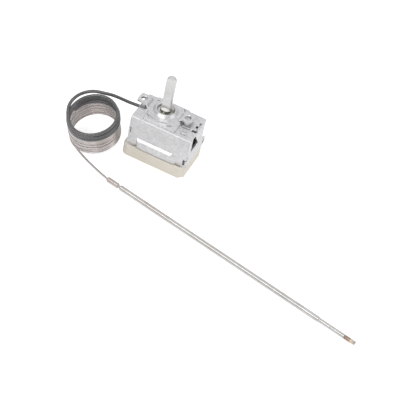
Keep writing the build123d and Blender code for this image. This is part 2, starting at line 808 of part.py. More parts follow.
# Push pin, ceramic, round at its foot
with BuildPart() as push_pin:
    disc(pin_radius, pin_foot, pin_top)
    fillet(push_pin.edges().filter_by(GeomType.CIRCLE).sort_by(Axis.Z)[0], pin_radius - slack)

# Return spring under the lever
spring_foot = pocket_floor + spring_wire / 2 + play / 2
spring_height = lever_foot - play - spring_wire / 2 - spring_foot
spring_pitch = spring_height / spring_turns
with BuildPart() as return_spring:
    with BuildLine():
        spring_path = Helix(spring_pitch, spring_height, spring_radius, center=(0, 0, spring_foot))
    with BuildSketch(Plane(origin=spring_path @ 0, z_dir=spring_path % 0)):
        RegularPolygon(spring_wire / 2, 8)
    sweep()

# The coil leans on the sleeve's lead: its axis tips away from the housing
lean_across = sin(radians(coil_lean))
coil_normal = Vector(
    lean_across * cos(radians(coil_lean_towards)),
    lean_across * sin(radians(coil_lean_towards)),
    cos(radians(coil_lean)),
)
coil_centre = Vector(coil_x, coil_y, coil_radius * lean_across + capillary_d / 2)
coil_right = Vector(cos(radians(coil_turned)), sin(radians(coil_turned)), 0)
coil_right = (coil_right - coil_normal * coil_right.dot(coil_normal)).normalized()
coil_ahead = coil_normal.cross(coil_right)
coil_section = Plane(origin=coil_centre, x_dir=coil_right, z_dir=-coil_ahead)
coil_axis = Axis(coil_centre, coil_normal)
bare_top = coil_turns * capillary_d - capillary_d / 2


def on_coil(angle, radius, height):
    # A point in the coil's leaning frame
    across = coil_right * (radius * cos(radians(angle)))
    ahead = coil_ahead * (radius * sin(radians(angle)))
    return coil_centre + across + ahead + coil_normal * height


with BuildPart() as capillary_coil:
    with BuildSketch(coil_section):
        with Locations((coil_radius, (bare_top - capillary_d / 2) / 2)):
            bare_outline = Rectangle(capillary_d, bare_top + capillary_d / 2)
        chamfer(bare_outline.vertices(), coil_edge)
    revolve(axis=coil_axis)

with BuildPart() as sleeve_coil:
    with BuildSketch(coil_section):
        with Locations((coil_radius, bare_top + sleeve_band_height / 2)):
            band_outline = Rectangle(sleeve_band, sleeve_band_height)
        chamfer(band_outline.vertices(), sleeve_band_edge)
    revolve(axis=coil_axis)

sleeve_points = [Vector(*point) for point in sleeve_lead]
sleeve_points += [on_coil(*point) for point in sleeve_turn]
sleeve_radii = corner_radii(sleeve_points)
with BuildPart() as sleeve_run:
    with BuildLine():
        sleeve_path = FilletPolyline(*sleeve_points, radius=sleeve_radii)
    with BuildSketch(Plane(origin=sleeve_path @ 0, z_dir=sleeve_path % 0)):
        Circle(sleeve_d / 2)
    sweep()

capillary_points = [Vector(*point) for point in capillary_route]
capillary_radii = corner_radii(capillary_points)
with BuildPart() as capillary_run:
    with BuildLine():
        capillary_path = FilletPolyline(*capillary_points, radius=capillary_radii)
    with BuildSketch(Plane(origin=capillary_path @ 0, z_dir=capillary_path % 0)):
        Circle(capillary_d / 2)
    sweep()

# Ferrule, bulb and sealed tip lie in one line on the floor
bulb_along = Vector(cos(radians(bulb_heading)), sin(radians(bulb_heading)), 0)
ferrule_start = Vector(capillary_points[-1].X, capillary_points[-1].Y, bulb_d / 2) + bulb_along * seam


def bulb_plane(distance):
    return Plane(origin=ferrule_start + bulb_along * distance, z_dir=bulb_along)


ferrule_end = ferrule_length + ferrule_neck
step_start = ferrule_end + bulb_body
tip_start = step_start + bulb_step
pinch_start = tip_start + tip_length
with BuildPart() as bulb_ferrule:
    with BuildSketch(bulb_plane(0)):
        Circle(ferrule_d / 2)
    extrude(amount=ferrule_length)
    fillet(bulb_ferrule.edges().filter_by(GeomType.CIRCLE), 0.3 * ferrule_d)
    with BuildSketch(bulb_plane(ferrule_length / 2)):
        Circle(ferrule_neck_d / 2)
    extrude(amount=ferrule_length / 2 + ferrule_neck)

with BuildPart() as sensor_bulb:
    with BuildSketch(bulb_plane(ferrule_end)):
        Circle(bulb_d / 2)
    extrude(amount=bulb_body)
    fillet(sensor_bulb.edges().filter_by(GeomType.CIRCLE), 0.2 * bulb_d)
    with BuildSketch(bulb_plane(step_start - bulb_d)):
        Circle(bulb_step_d / 2)
    extrude(amount=bulb_d + bulb_step)

with BuildPart() as bulb_tip:
    with BuildSketch(bulb_plane(tip_start)):
        Circle(tip_d / 2)
    extrude(amount=tip_length)
    fillet(bulb_tip.edges().filter_by(GeomType.CIRCLE), 0.2 * tip_d)
    with BuildSketch(bulb_plane(pinch_start - tip_pinch)):
        Rectangle(tip_pinch_width, tip_pinch_d)
    extrude(amount=2 * tip_pinch)

pieces = {
    "housing_frame": housing_frame,
    "end_plate_right": end_plate_right,
    "end_plate_left": end_plate_left,
    "mounting_bridge": mounting_bridge,
    "plate_screw": plate_screw,
    "threaded_bush": threaded_bush,
    "spring_washer": spring_washer,
    "ceramic_base": ceramic_base,
    "switch_cover": switch_cover,
    "cover_rivets": cover_rivets,
    "terminal_load": terminal_load,
    "terminal_fixed": terminal_fixed,
    "fixed_contact": fixed_contact,
    "return_spring": return_spring,
    "d_shaft": d_shaft,
    "slotted_collar": slotted_collar,
    "adjusting_spindle": adjusting_spindle,
    "diaphragm_capsule": diaphragm_capsule,
    "thrust_button": thrust_button,
    "capillary_stub": capillary_stub,
    "push_pin": push_pin,
    "contact_lever": contact_lever,
    "moving_contact": moving_contact,
    "sleeve_run": sleeve_run,
    "sleeve_coil": sleeve_coil,
    "capillary_coil": capillary_coil,
    "capillary_run": capillary_run,
    "bulb_ferrule": bulb_ferrule,
    "sensor_bulb": sensor_bulb,
    "bulb_tip": bulb_tip,
}
for name, piece in pieces.items():
    piece.part.label = name
    export_step(piece.part, f"parts/{name}.step")

for name, radii, piece, path, diameter in (
    ("sleeve", sleeve_radii, sleeve_run, sleeve_path, sleeve_d),
    ("capillary", capillary_radii, capillary_run, capillary_path, capillary_d),
):
    length = path.length
    section = pi * diameter**2 / 4
    print(name, "radii", [round(radius, 1) for radius in radii])
    print(name, "length", round(length, 1))
    print(name, "volume over section and length", round(piece.part.volume / section / length, 4))
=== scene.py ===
import math

import bmesh
import bpy
import numpy as np
from mathutils import Matrix, Vector


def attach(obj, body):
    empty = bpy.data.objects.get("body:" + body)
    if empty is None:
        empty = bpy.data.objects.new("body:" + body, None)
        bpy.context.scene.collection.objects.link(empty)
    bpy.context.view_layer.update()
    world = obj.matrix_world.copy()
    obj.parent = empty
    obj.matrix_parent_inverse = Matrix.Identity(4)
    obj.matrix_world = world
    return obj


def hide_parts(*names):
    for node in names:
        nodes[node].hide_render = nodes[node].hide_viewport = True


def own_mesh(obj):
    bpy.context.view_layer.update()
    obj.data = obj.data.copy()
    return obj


# Oven thermostat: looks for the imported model. Metres, +Z up along the shaft. The camera's and the
# studio's places are in metres, and the pieces' own values are in millimetres and degrees.
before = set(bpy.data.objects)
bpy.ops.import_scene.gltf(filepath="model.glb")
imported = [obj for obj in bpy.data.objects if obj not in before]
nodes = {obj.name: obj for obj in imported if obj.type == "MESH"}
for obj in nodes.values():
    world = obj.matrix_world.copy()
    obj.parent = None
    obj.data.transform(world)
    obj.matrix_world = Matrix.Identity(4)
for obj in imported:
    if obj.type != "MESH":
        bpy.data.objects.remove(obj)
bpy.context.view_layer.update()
scene = bpy.context.scene
mm = 0.001
print("frame loaded, nodes:", len(nodes))


# Camera at the photograph's angle
cameraView = {
    "place": (0.173673, -0.524758, 0.529398),
    "azimuth": 14.3098,
    "elevation": 45.9585,
    "roll": 14.3729,
    "lens": 111.43,
    "sensor": 36.0,
    "nearest": 0.01,
}


def makeCamera(view):
    # Right and up from azimuth and elevation, then both turned by the roll about the line of sight
    azimuth = math.radians(view["azimuth"])
    elevation = math.radians(view["elevation"])
    roll = math.radians(view["roll"])
    right = Vector((math.cos(azimuth), math.sin(azimuth), 0))
    up = Vector((
        -math.sin(azimuth) * math.sin(elevation),
        math.cos(azimuth) * math.sin(elevation),
        math.cos(elevation),
    ))
    rolledRight = right * math.cos(roll) + up * math.sin(roll)
    rolledUp = up * math.cos(roll) - right * math.sin(roll)
    turn = Matrix((rolledRight, rolledUp, rolledRight.cross(rolledUp))).transposed()
    data = bpy.data.cameras.new("camera")
    data.lens = view["lens"]
    data.sensor_width = view["sensor"]
    data.clip_start = view["nearest"]
    camera = bpy.data.objects.new("camera", data)
    camera.matrix_world = Matrix.Translation(view["place"]) @ turn.to_4x4()
    scene.collection.objects.link(camera)
    scene.camera = camera


makeCamera(cameraView)
print("camera set")


# Meshes from whole arrays
def linkMesh(name, points, quads, triangles=(), loopUv=None):
    # One mesh of the quads first and the triangles after them, in that order of loops
    faces = np.asarray(quads, int).reshape(-1, 4).tolist()
    faces += np.asarray(triangles, int).reshape(-1, 3).tolist()
    mesh = bpy.data.meshes.new(name)
    mesh.from_pydata(np.asarray(points, float).tolist(), [], faces)
    if loopUv is not None:
        layer = mesh.uv_layers.new(name="UVMap")
        layer.data.foreach_set("uv", np.asarray(loopUv, np.float32).ravel())
    mesh.polygons.foreach_set("use_smooth", [True] * len(faces))
    mesh.update()
    piece = bpy.data.objects.new(name, mesh)
    scene.collection.objects.link(piece)
    return piece


def gridQuads(rows, columns):
    # Quads of a grid that closes on itself along its columns
    row = np.arange(rows - 1)[:, None]
    column = np.arange(columns)[None, :]
    after = (column + 1) % columns
    corners = (row * columns + column, (row + 1) * columns + column)
    nextCorners = (row * columns + after, (row + 1) * columns + after)
    return np.stack((corners[0], nextCorners[0], nextCorners[1], corners[1]), -1).reshape(-1, 4)


def readSpline(route, steps):
    # The line of a smooth NURBS spline whose control points are the route
    data = bpy.data.curves.new("route", "CURVE")
    data.dimensions = "3D"
    data.resolution_u = steps
    spline = data.splines.new("NURBS")
    spline.points.add(len(route) - 1)
    controls = np.column_stack((np.asarray(route, float), np.ones(len(route))))
    spline.points.foreach_set("co", controls.ravel())
    spline.order_u = 3
    spline.use_endpoint_u = True
    holder = bpy.data.objects.new("route", data)
    scene.collection.objects.link(holder)
    mesh = bpy.data.meshes.new_from_object(holder)
    line = np.empty(len(mesh.vertices) * 3)
    mesh.vertices.foreach_get("co", line)
    bpy.data.objects.remove(holder)
    bpy.data.meshes.remove(mesh)
    return line.reshape(-1, 3)


def evenLine(line, spacing):
    # The same line with its points an even length apart, and the length up to each of them
    run = np.concatenate(([0], np.cumsum(np.linalg.norm(np.diff(line, axis=0), axis=1))))
    along = np.linspace(0, run[-1], int(run[-1] / spacing) + 1)
    return np.column_stack([np.interp(along, run, line[:, k]) for k in range(3)]), along


def tubeAlong(name, line, along, radius, sides, relief=None):
    # A circle of the radius, plus relief(length, angle), carried along the line at right angles to it.
    # Its sides stay square to the coil's normal, so it doesn't twist
    tangent = np.gradient(line, along, axis=0)
    tangent /= np.linalg.norm(tangent, axis=1)[:, None]
    side = np.cross(tangent, coilNormal)
    side /= np.linalg.norm(side, axis=1)[:, None]
    above = np.cross(side, tangent)
    angle = np.arange(sides) / sides * 2 * np.pi
    reach = np.full((len(line), sides), radius)
    if relief is not None:
        reach = reach + relief(along[:, None], angle[None, :])
    ring = (
        np.cos(angle)[None, :, None] * side[:, None, :]
        + np.sin(angle)[None, :, None] * above[:, None, :]
    )
    points = (line[:, None, :] + reach[:, :, None] * ring).reshape(-1, 3)
    quads = gridQuads(len(line), sides)
    column = np.tile(np.arange(sides), len(line) - 1)
    row = np.repeat(np.arange(len(line) - 1), sides)
    lengths = np.stack((along[row], along[row], along[row + 1], along[row + 1]), -1)
    rounds = np.stack((column, column + 1, column + 1, column), -1) / sides
    uv = np.stack((lengths, rounds), -1).reshape(-1, 2)
    # Each end is closed by a fan of triangles to the line's own end point
    first = len(points)
    points = np.vstack((points, line[0], line[-1]))
    index = np.arange(sides)
    after = (index + 1) % sides
    last = (len(line) - 1) * sides
    startFan = np.column_stack((np.full(sides, first), after, index))
    endFan = np.column_stack((np.full(sides, first + 1), last + index, last + after))
    fanUv = np.zeros((3 * (len(startFan) + len(endFan)), 2))
    return linkMesh(name, points, quads, np.vstack((startFan, endFan)), np.vstack((uv, fanUv)))


# Cords first: the braided sleeve, and the bare capillary that comes out of it. Their shared coil leans
# on the floor with its lowest turn, and its points are worked out in its own leaning frame
coil = {
    "radius": 14.5,
    "lean": 15.85,
    "leanTowards": -120.3,
    "turned": 14.31,
    "middle": (-34.12, -15.52),
    "tubeHeight": 0.6,
    "pointsPerTurn": 24,
    "splineSteps": 8,
}
leanAngle = math.radians(coil["lean"])
leanHeading = math.radians(coil["leanTowards"])
rightHeading = math.radians(coil["turned"])
leanAcross = math.sin(leanAngle)
coilNormal = np.array((
    leanAcross * math.cos(leanHeading),
    leanAcross * math.sin(leanHeading),
    math.cos(leanAngle),
))
coilRight = np.array((math.cos(rightHeading), math.sin(rightHeading), 0))
coilRight -= coilNormal * (coilRight @ coilNormal)
coilRight /= np.linalg.norm(coilRight)
coilAhead = np.cross(coilNormal, coilRight)
coilCentre = np.array((*coil["middle"], coil["radius"] * leanAcross + coil["tubeHeight"]))


def onCoil(angle, radius, height):
    # A point in the coil's leaning frame, from its angle in degrees, its radius and its height
    turn = np.radians(np.asarray(angle, float))[:, None]
    radius = np.asarray(radius, float)[:, None]
    height = np.asarray(height, float)[:, None]
    return (
        coilCentre
        + coilRight * radius * np.cos(turn)
        + coilAhead * radius * np.sin(turn)
        + coilNormal * height
    )


sleeve = {
    "diameter": 2.0,
    "lead": (
        (-14.85, 4.1, 20.2),
        (-18.6, 4.0, 20.2),
        (-23.3, 2.7, 20.9),
        (-28.1, 1.4, 22.2),
        (-33.0, -1.3, 24.6),
        (-37.1, -3.7, 25.6),
    ),
    "looseTurn": (
        (102, 16.7, 18.6),
        (130, 17.1, 18.2),
        (158, 16.2, 17.8),
        (186, 14.2, 17.4),
        (214, 13.9, 17.1),
        (242, 14.4, 17.0),
        (270, 14.8, 17.05),
        (298, 15.0, 17.05),
        (326, 15.2, 17.05),
        (354, 15.3, 17.0),
        (382, 15.2, 16.9),
        (410, 14.9, 16.8),
    ),
    "turnsEnd": 1240,
    "turnsRadius": 14.55,
    "turnsTop": 16.2,
    "turnDrop": 2.05,
    "farRise": (0.75, 0.25, 0.3),
    "farReach": (0.0, 0.35, -0.35),
    "farSharpness": 1.5,
    "shiftRight": 0.5,
    "length": 0.320,
    "spacing": 0.22,
    "sides": 36,
    "strands": 9,
    "strandPitch": 4.2,
    "strandDepth": 0.05,
}
capillary = {
    "diameter": 1.2,
    "firstDrop": 1.6,
    "turnsEnd": 4545.5,
    "wander": 0.26,
    "wanderWaves": (0.41, 0.63),
    "secondWave": 0.6,
    "secondShift": 1.0,
    "route": (
        (-41.5, -27.4, 0.6),
        (-38.5, -29.3, 0.6),
        (-34.2, -31.9, 0.6),
        (-27.9, -34.9, 0.6),
        (-21.0, -37.7, 0.6),
        (-16.5, -39.6, 0.85),
        (-12.4, -41.4, 1.45),
    ),
    "length": 0.870,
    "spacing": 0.55,
    "sides": 14,
}


def splineSwell():
    # A spline of order 3 cuts inside a circle's control points: level with each point it takes 3/4 of
    # that point and 1/8 of each neighbour. The points stand out by the inverse of that
    return 1 / (0.75 + 0.25 * math.cos(2 * math.pi / coil["pointsPerTurn"]))


def sleeveRoute():
    # The lead, the loose top turn, then tight turns that go down a diameter each time round. On the
    # far side each turn has its own rise and reach, times a share that is 1 there and 0 at the sides.
    # The tight turns lie a little to the right of the bare turns
    turnStart = sleeve["looseTurn"][-1][0]
    step = 360 / coil["pointsPerTurn"]
    angle = np.arange(turnStart + step, sleeve["turnsEnd"], step)
    turn = (angle // 360).astype(int) - 1
    far = np.clip(np.sin(np.radians(angle)), 0, 1) ** sleeve["farSharpness"]
    height = sleeve["turnsTop"] - sleeve["turnDrop"] * (angle - turnStart) / 360
    height = height + far * np.array(sleeve["farRise"])[turn]
    radius = sleeve["turnsRadius"] + far * np.array(sleeve["farReach"])[turn]
    radius = radius + sleeve["shiftRight"] * np.cos(np.radians(angle))
    tight = onCoil(angle, radius * splineSwell(), height)
    loose = onCoil(*np.array(sleeve["looseTurn"], float).T)
    return np.vstack((np.array(sleeve["lead"], float), loose, tight)), height[-1]


def capillaryRoute(start, startAngle, startHeight):
    # Bare turns: a quick drop out of the sleeve in the first turn, then an even drop to the coil's foot
    step = 360 / coil["pointsPerTurn"]
    angle = np.append(np.arange(startAngle + step, capillary["turnsEnd"], step), capillary["turnsEnd"])
    turns = (angle - startAngle) / 360
    allTurns = turns[-1]
    lower = startHeight - capillary["firstDrop"]
    quickDrop = startHeight - capillary["firstDrop"] * turns
    evenDrop = lower * (allTurns - turns) / (allTurns - 1)
    height = np.where(turns < 1, quickDrop, evenDrop)
    # Neighbouring turns lie a little nearer to the axis or farther from it, by two slow sine waves
    # that fade in over the first turn and out over the last
    first, second = (2 * np.pi * wave * turns for wave in capillary["wanderWaves"])
    waves = np.sin(first) + capillary["secondWave"] * np.sin(second + capillary["secondShift"])
    wander = capillary["wander"] * waves * np.clip(allTurns - turns, 0, 1) * np.clip(turns, 0, 1)
    bare = onCoil(angle, (coil["radius"] + wander) * splineSwell(), height)
    return np.vstack((start[None, :], bare, np.array(capillary["route"], float)))


def braid(along, angle):
    # Two sets of strands wound opposite ways: the higher of two cosines, one for each way of winding
    around = sleeve["strands"] * angle
    winding = 4 * np.pi * along / (sleeve["strandPitch"] * mm)
    strands = np.maximum(np.cos(around + winding), np.cos(around - winding))
    return sleeve["strandDepth"] * mm * (strands - 1)


def makeCord(name, controls, cord, relief=None):
    # The tube on its smooth line, with that line and the length at each of its points
    line, along = evenLine(readSpline(controls * mm, coil["splineSteps"]), cord["spacing"] * mm)
    return tubeAlong(name, line, along, cord["diameter"] / 2 * mm, cord["sides"], relief), line, along


sleeveControls, sleeveEndHeight = sleeveRoute()
braidedSleeve, sleeveLine, sleeveAlong = makeCord("braidedSleeve", sleeveControls, sleeve, braid)
capillaryControls = capillaryRoute(sleeveLine[-1] / mm, sleeve["turnsEnd"], sleeveEndHeight)
capillaryTube, capillaryLine, capillaryAlong = makeCord("capillaryTube", capillaryControls, capillary)
print("cord lengths:", round(sleeveAlong[-1], 4), round(capillaryAlong[-1], 4))

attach(braidedSleeve, "housing")
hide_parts("sleeve_run", "sleeve_coil")
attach(capillaryTube, "housing")
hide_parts("capillary_coil", "capillary_run")


# Shader helpers
def newNode(tree, kind, **settings):
    node = tree.nodes.new(kind)
    for key, value in settings.items():
        setattr(node, key, value)
    return node


def feed(tree, socket, value):
    # A socket gets a link, a colour of three parts, or a number
    if isinstance(value, bpy.types.NodeSocket):
        tree.links.new(value, socket)
    elif isinstance(value, tuple):
        socket.default_value = (*value, 1)
    else:
        socket.default_value = value


def mathNode(tree, operation, *values):
    # One step of arithmetic on sockets or plain numbers, and its result
    node = newNode(tree, "ShaderNodeMath", operation=operation)
    for socket, value in zip(node.inputs, values):
        feed(tree, socket, value)
    return node.outputs[0]


def addShares(tree, *terms):
    # Each socket of the terms times its share, all added up
    total = None
    for socket, share in terms:
        part = mathNode(tree, "MULTIPLY", socket, share)
        total = part if total is None else mathNode(tree, "ADD", total, part)
    return total


def partsOf(tree, vector):
    # The X, Y and Z of a vector, or the red, green and blue of a colour
    node = newNode(tree, "ShaderNodeSeparateXYZ")
    tree.links.new(vector, node.inputs[0])
    return node.outputs


def stretchedBy(tree, vector, scale):
    # A vector with each of its parts times its own scale
    node = newNode(tree, "ShaderNodeMapping")
    node.inputs["Scale"].default_value = scale
    tree.links.new(vector, node.inputs["Vector"])
    return node.outputs[0]


def alongHeading(tree, vector, heading):
    # A vector read in axes that are turned about Z, so that X runs along the heading in degrees
    node = newNode(tree, "ShaderNodeMapping", vector_type="TEXTURE")
    node.inputs["Rotation"].default_value = (0, 0, math.radians(heading))
    tree.links.new(vector, node.inputs["Vector"])
    return node.outputs[0]


def noiseNode(tree, vector, scale, detail, roughness):
    node = newNode(tree, "ShaderNodeTexNoise")
    tree.links.new(vector, node.inputs["Vector"])
    node.inputs["Scale"].default_value = scale
    node.inputs["Detail"].default_value = detail
    node.inputs["Roughness"].default_value = roughness
    return node.outputs["Fac"]


def scatteredPoints(tree, vector, scale):
    # The distance to the nearest of scattered points, and that point's own random colour
    node = newNode(tree, "ShaderNodeTexVoronoi")
    tree.links.new(vector, node.inputs["Vector"])
    feed(tree, node.inputs["Scale"], scale)
    return node.outputs


def mixColor(tree, factor, first, second):
    # For colours, a Mix node takes its inputs 0, 6 and 7 and gives its output 2
    node = newNode(tree, "ShaderNodeMix", data_type="RGBA")
    for index, value in ((0, factor), (6, first), (7, second)):
        feed(tree, node.inputs[index], value)
    return node.outputs[2]


def mapRange(tree, value, span, low=0.0, high=1.0):
    # The ends of the span become low and high, and what lies past them is held there
    node = newNode(tree, "ShaderNodeMapRange")
    tree.links.new(value, node.inputs["Value"])
    for label, number in zip(("From Min", "From Max", "To Min", "To Max"), (*span, low, high)):
        feed(tree, node.inputs[label], number)
    return node.outputs["Result"]


# Studio: pale floor, an even pale sky, a wide soft lamp in front and a second one at the right
studio = {
    "floorSize": 3.0,
    "floorColor": 0.9,
    "floorGlow": 0.24,
    "floorSeenGlow": 0.55,
    "skyTop": 1.1,
    "skySide": 0.5,
    "skyBack": 0.2,
    "skyCurve": 0.7,
}
lamps = {
    "frontLamp": {"place": (-0.22, -0.95, 0.95), "width": 1.25, "height": 0.45, "power": 3.9},
    "rightLamp": {"place": (1.1, 0.1, 0.5), "width": 0.7, "height": 0.7, "power": 1.4},
}


def makeFloor():
    # Matt paint plus two glows: one for the camera, and a weaker one for mirrored rays
    half = studio["floorSize"] / 2
    corners = ((-half, -half, 0), (half, -half, 0), (half, half, 0), (-half, half, 0))
    floor = linkMesh("floor", corners, (0, 1, 2, 3))
    material = bpy.data.materials.new("paleFloor")
    material.use_nodes = True
    tree = material.node_tree
    tree.nodes.clear()
    paint = newNode(tree, "ShaderNodeBsdfDiffuse")
    grey = studio["floorColor"]
    feed(tree, paint.inputs["Color"], (grey, grey, grey))
    glow = newNode(tree, "ShaderNodeEmission")
    rays = newNode(tree, "ShaderNodeLightPath").outputs
    seen = mathNode(tree, "MULTIPLY", rays["Is Camera Ray"], studio["floorSeenGlow"])
    mirrored = mathNode(tree, "MULTIPLY", rays["Is Glossy Ray"], studio["floorGlow"])
    tree.links.new(mathNode(tree, "MAXIMUM", seen, mirrored), glow.inputs["Strength"])
    both = newNode(tree, "ShaderNodeAddShader")
    tree.links.new(paint.outputs[0], both.inputs[0])
    tree.links.new(glow.outputs[0], both.inputs[1])
    tree.links.new(both.outputs[0], newNode(tree, "ShaderNodeOutputMaterial").inputs["Surface"])
    floor.data.materials.append(material)


def makeWorld():
    # The sky goes from its side brightness at the horizon to its top one by a curve of the height, and
    # is a little brighter at the back. For the camera its strength is at least 1
    world = bpy.data.worlds.new("paleSky")
    scene.world = world
    world.use_nodes = True
    tree = world.node_tree
    tree.nodes.clear()
    parts = partsOf(tree, newNode(tree, "ShaderNodeTexCoord").outputs["Generated"])
    rise = mathNode(tree, "POWER", mathNode(tree, "ABSOLUTE", parts["Z"]), studio["skyCurve"])
    bright = mathNode(tree, "MULTIPLY", rise, studio["skyTop"] - studio["skySide"])
    bright = mathNode(tree, "ADD", bright, studio["skySide"])
    bright = mathNode(tree, "ADD", bright, mathNode(tree, "MULTIPLY", parts["Y"], studio["skyBack"]))
    rays = newNode(tree, "ShaderNodeLightPath").outputs
    bright = mathNode(tree, "MAXIMUM", bright, rays["Is Camera Ray"])
    background = newNode(tree, "ShaderNodeBackground")
    tree.links.new(bright, background.inputs["Strength"])
    tree.links.new(background.outputs[0], newNode(tree, "ShaderNodeOutputWorld").inputs["Surface"])


def makeLamp(name, lamp):
    # A soft lamp that looks at the origin
    data = bpy.data.lights.new(name, "AREA")
    data.shape = "RECTANGLE"
    data.size = lamp["width"]
    data.size_y = lamp["height"]
    data.energy = lamp["power"]
    light = bpy.data.objects.new(name, data)
    place = Vector(lamp["place"])
    light.matrix_world = Matrix.Translation(place) @ place.to_track_quat("Z", "Y").to_matrix().to_4x4()
    scene.collection.objects.link(light)


makeFloor()
makeWorld()
for lampName, lampValues in lamps.items():
    makeLamp(lampName, lampValues)
scene.view_settings.view_transform = "Standard"
print("studio set")


# Shader groups, which several materials share
noiseSpan = (0.3, 0.7)  # nearly all values of a noise lie in it


def newGroup(name, inputs, outputs):
    # An empty node group with its two end nodes, from the labels and kinds of its sockets
    tree = bpy.data.node_groups.new(name, "ShaderNodeTree")
    for side, sockets in (("INPUT", inputs), ("OUTPUT", outputs)):
        for label, kind in sockets.items():
            tree.interface.new_socket(name=label, in_out=side, socket_type="NodeSocket" + kind)
    given = newNode(tree, "NodeGroupInput").outputs
    out = newNode(tree, "NodeGroupOutput").inputs
    return tree, given, out


rolledLook = {
    "stretch": (0.06, 1, 1),
    "lines": {"scale": 2600.0, "detail": 2.0, "roughness": 0.55},
    "blotch": {"scale": 160.0, "detail": 4.0, "roughness": 0.6},
    "patchScale": 900.0,
    "lineShare": 0.35,
    "blotchShare": 0.35,
    "patchShare": 0.3,
    "lightSpan": (0.3, 0.68),
    "blotchHeight": 2.0,
    "nicks": {"Scale": 900.0, "Size": 0.1, "Thin Out": 0.8},
    "bumpDepth": 0.01,
    "bumpStrength": 0.6,
}


def rolledSheetGroup():
    # Rolling lines, soft blotches and faint crystal patches of a zinc coat, as colour, roughness and height
    tree, given, out = newGroup(
        "rolledSheet",
        {"Vector": "Vector", "Light": "Color", "Dark": "Color", "Smooth": "Float", "Rough": "Float"},
        {"Color": "Color", "Roughness": "Float", "Height": "Float"},
    )
    stretched = stretchedBy(tree, given["Vector"], rolledLook["stretch"])
    lines = noiseNode(tree, stretched, **rolledLook["lines"])
    blotch = noiseNode(tree, given["Vector"], **rolledLook["blotch"])
    points = scatteredPoints(tree, given["Vector"], rolledLook["patchScale"])
    patch = partsOf(tree, points["Color"])["X"]
    mixed = addShares(
        tree,
        (blotch, rolledLook["blotchShare"]),
        (lines, rolledLook["lineShare"]),
        (patch, rolledLook["patchShare"]),
    )
    share = mapRange(tree, mixed, rolledLook["lightSpan"])
    tree.links.new(mixColor(tree, share, given["Dark"], given["Light"]), out["Color"])
    tree.links.new(mapRange(tree, lines, noiseSpan, given["Smooth"], given["Rough"]), out["Roughness"])
    blotchHeight = mathNode(tree, "MULTIPLY", blotch, rolledLook["blotchHeight"])
    tree.links.new(mathNode(tree, "ADD", lines, blotchHeight), out["Height"])
    return tree


turnedLook = {
    "lines": {"scale": 3000.0, "detail": 3.0, "roughness": 0.7},
    "blotch": {"scale": 300.0, "detail": 3.0, "roughness": 0.55},
    "lineShare": 0.6,
    "blotchShare": 0.4,
    "bumpDepth": 0.01,
    "bumpStrength": 0.5,
}


def turnedGroup():
    # Fine tool lines round the Z axis: noise read at each point's distance from the axis and its height
    tree, given, out = newGroup("turnedLines", {"Vector": "Vector"}, {"Value": "Float"})
    parts = partsOf(tree, given["Vector"])
    across = mathNode(tree, "MULTIPLY", parts["X"], parts["X"])
    ahead = mathNode(tree, "MULTIPLY", parts["Y"], parts["Y"])
    place = newNode(tree, "ShaderNodeCombineXYZ")
    tree.links.new(mathNode(tree, "SQRT", mathNode(tree, "ADD", across, ahead)), place.inputs["X"])
    tree.links.new(parts["Z"], place.inputs["Z"])
    tree.links.new(noiseNode(tree, place.outputs[0], **turnedLook["lines"]), out["Value"])
    return tree


def speckGroup():
    # Small round specks about scattered points, and only about those whose random colour is high enough
    tree, given, out = newGroup(
        "specks",
        {"Vector": "Vector", "Scale": "Float", "Size": "Float", "Thin Out": "Float"},
        {"Mask": "Float"},
    )
    points = scatteredPoints(tree, given["Vector"], given["Scale"])
    near = mapRange(tree, points["Distance"], (0.0, given["Size"]), 1.0, 0.0)
    chance = partsOf(tree, points["Color"])["X"]
    chosen = mathNode(tree, "GREATER_THAN", chance, given["Thin Out"])
    tree.links.new(mathNode(tree, "MULTIPLY", near, chosen), out["Mask"])
    return tree


rolledSheet = rolledSheetGroup()
turnedLines = turnedGroup()
specks = speckGroup()


# Materials: each function makes one kind, with the values of its pattern above it
def newMaterial(name, values):
    # A Principled shader with its own fixed values, and the piece's own coordinates
    material = bpy.data.materials.new(name)
    material.use_nodes = True
    tree = material.node_tree
    tree.nodes.clear()
    shader = newNode(tree, "ShaderNodeBsdfPrincipled")
    for label, value in values.items():
        shader.inputs[label].default_value = value
    tree.links.new(shader.outputs[0], newNode(tree, "ShaderNodeOutputMaterial").inputs["Surface"])
    return material, tree, shader.inputs, newNode(tree, "ShaderNodeTexCoord").outputs


def useGroup(tree, group, vector, values):
    node = newNode(tree, "ShaderNodeGroup", node_tree=group)
    tree.links.new(vector, node.inputs["Vector"])
    for label, value in values.items():
        feed(tree, node.inputs[label], value)
    return node.outputs


def addBump(tree, shader, height, look):
    # Relief from a height, as deep in millimetres as the pattern's own values say
    bump = newNode(tree, "ShaderNodeBump")
    bump.inputs["Distance"].default_value = look["bumpDepth"] * mm
    bump.inputs["Strength"].default_value = look["bumpStrength"]
    tree.links.new(height, bump.inputs["Height"])
    tree.links.new(bump.outputs[0], shader["Normal"])


def sheetMaterial(name, light, dark, metallic, smooth, rough):
    # Rolled sheet, with a few nicks that show its darker metal
    material, tree, shader, coordinates = newMaterial(name, {"Metallic": metallic})
    vector = coordinates["Object"]
    tones = {"Light": light, "Dark": dark, "Smooth": smooth, "Rough": rough}
    finish = useGroup(tree, rolledSheet, vector, tones)
    nicks = useGroup(tree, specks, vector, rolledLook["nicks"])
    tree.links.new(mixColor(tree, nicks["Mask"], finish["Color"], dark), shader["Base Color"])
    tree.links.new(finish["Roughness"], shader["Roughness"])
    addBump(tree, shader, finish["Height"], rolledLook)
    return material


